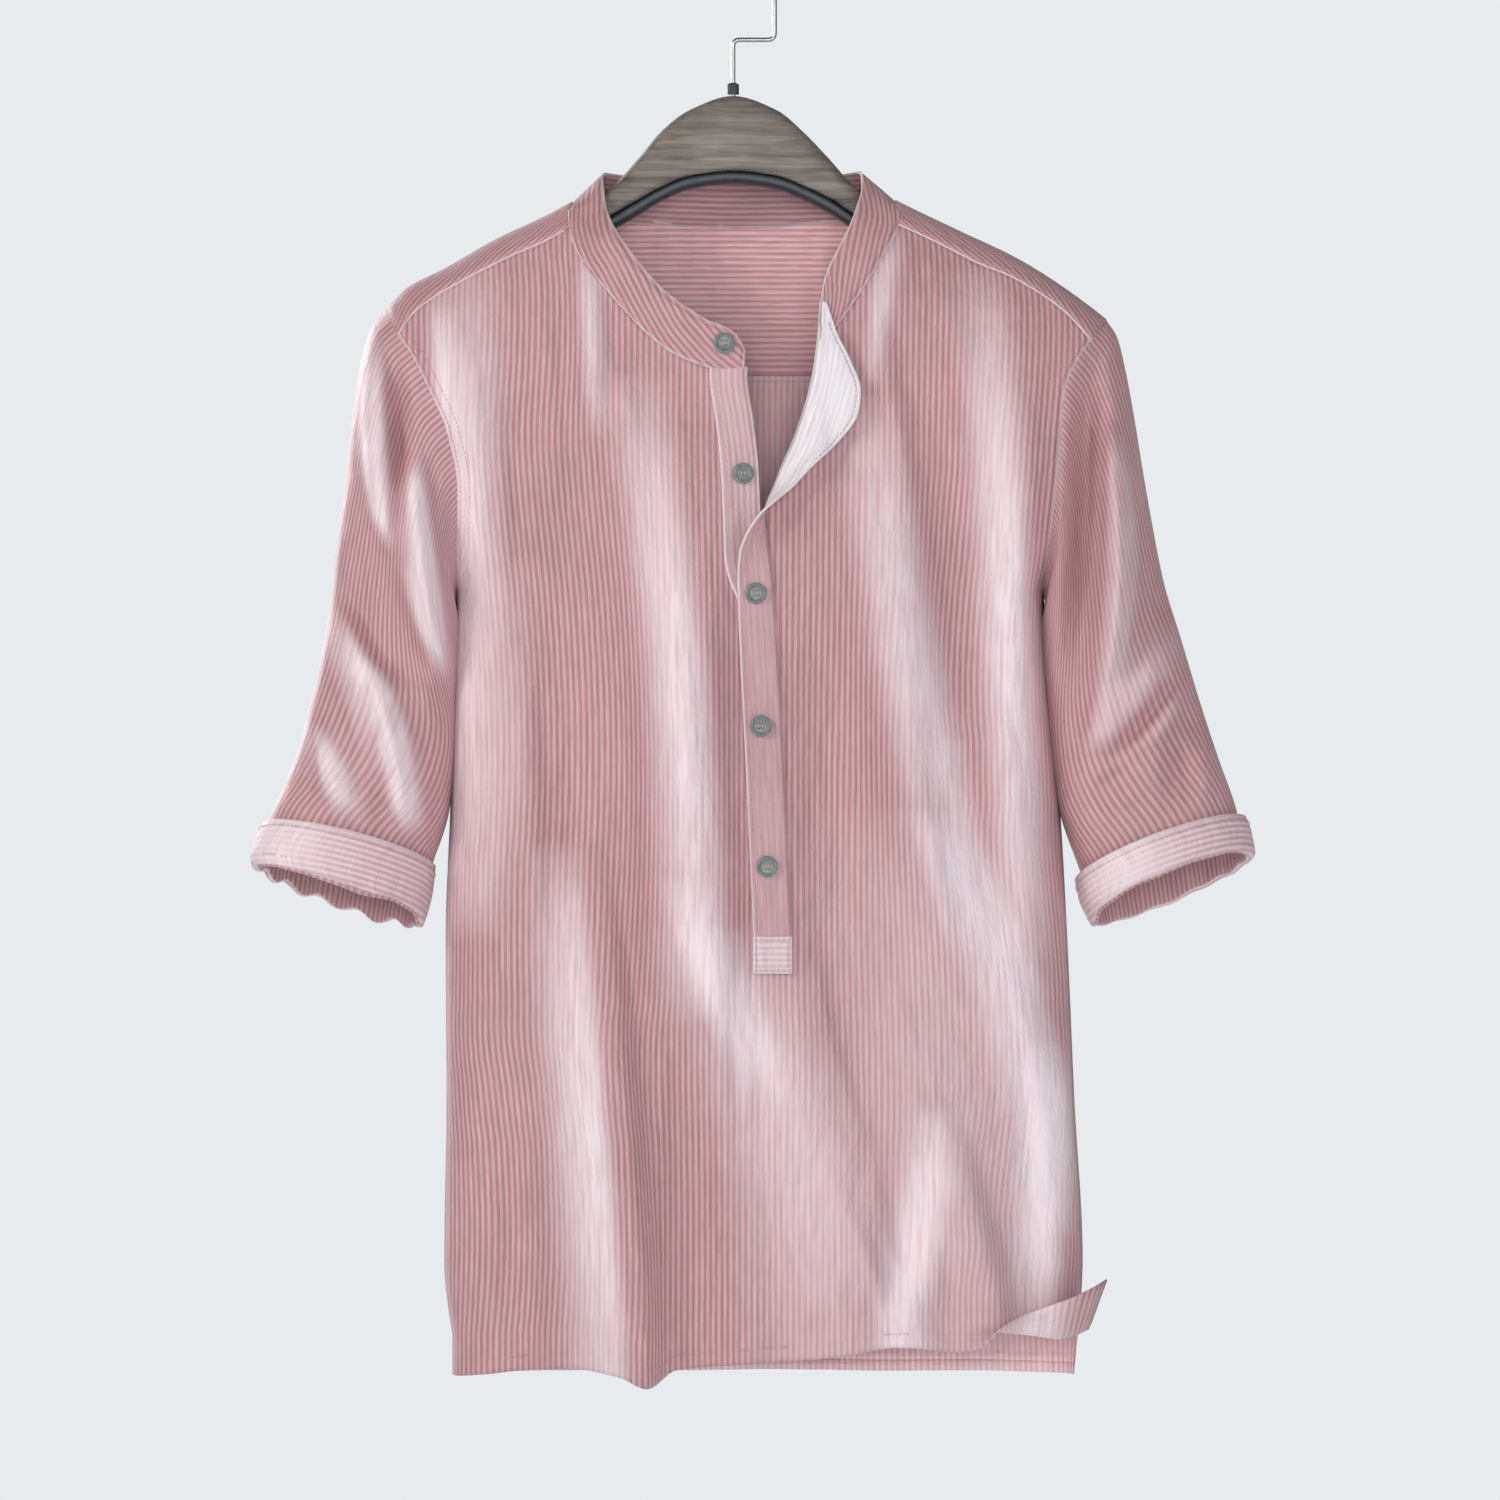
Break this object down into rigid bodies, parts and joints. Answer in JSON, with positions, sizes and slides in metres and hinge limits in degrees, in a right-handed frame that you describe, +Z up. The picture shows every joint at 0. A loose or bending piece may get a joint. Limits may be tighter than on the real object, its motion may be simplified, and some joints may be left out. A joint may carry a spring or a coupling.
{
  "type": "band-collar popover shirt on a hanger",
  "caption": "Striped half-sleeve shirt with a standing band collar, half placket and turned-up cuffs, hanging open at neck, hem and cuffs on a contoured wooden hanger with a wire hook.",
  "frame": {"origin": "the underside of the hook's arch, where it rests on a rail", "axes": "+Z up; +X to the viewer's right as the front is seen; -Y is the way the front of the shirt faces, +Y the back"},
  "size_m": [0.6032, 0.1033, 0.8697],
  "materials": {
    "striped_cotton": "woven fine stripe, matt",
    "dark_wood": "stained, satin",
    "dark_trim": "matt",
    "brushed_steel": "brushed",
    "grey_green_button": "satin, slightly mottled"
  },
  "bodies": {
    "root": {"front": "striped_cotton", "back": "striped_cotton", "yoke": "striped_cotton", "collar_band": "striped_cotton", "placket_over": "striped_cotton", "placket_under": "striped_cotton", "placket_box": "striped_cotton", "sleeve_left": "striped_cotton", "sleeve_right": "striped_cotton", "cuff_left": "striped_cotton", "cuff_right": "striped_cotton", "button_1": "grey_green_button", "button_2": "grey_green_button", "button_3": "grey_green_button", "button_4": "grey_green_button", "button_5": "grey_green_button", "hanger_wood": "dark_wood", "hanger_strip": "dark_trim", "hanger_hook": "brushed_steel", "hanger_ferrule": "dark_trim"}
  },
  "joints": []
}
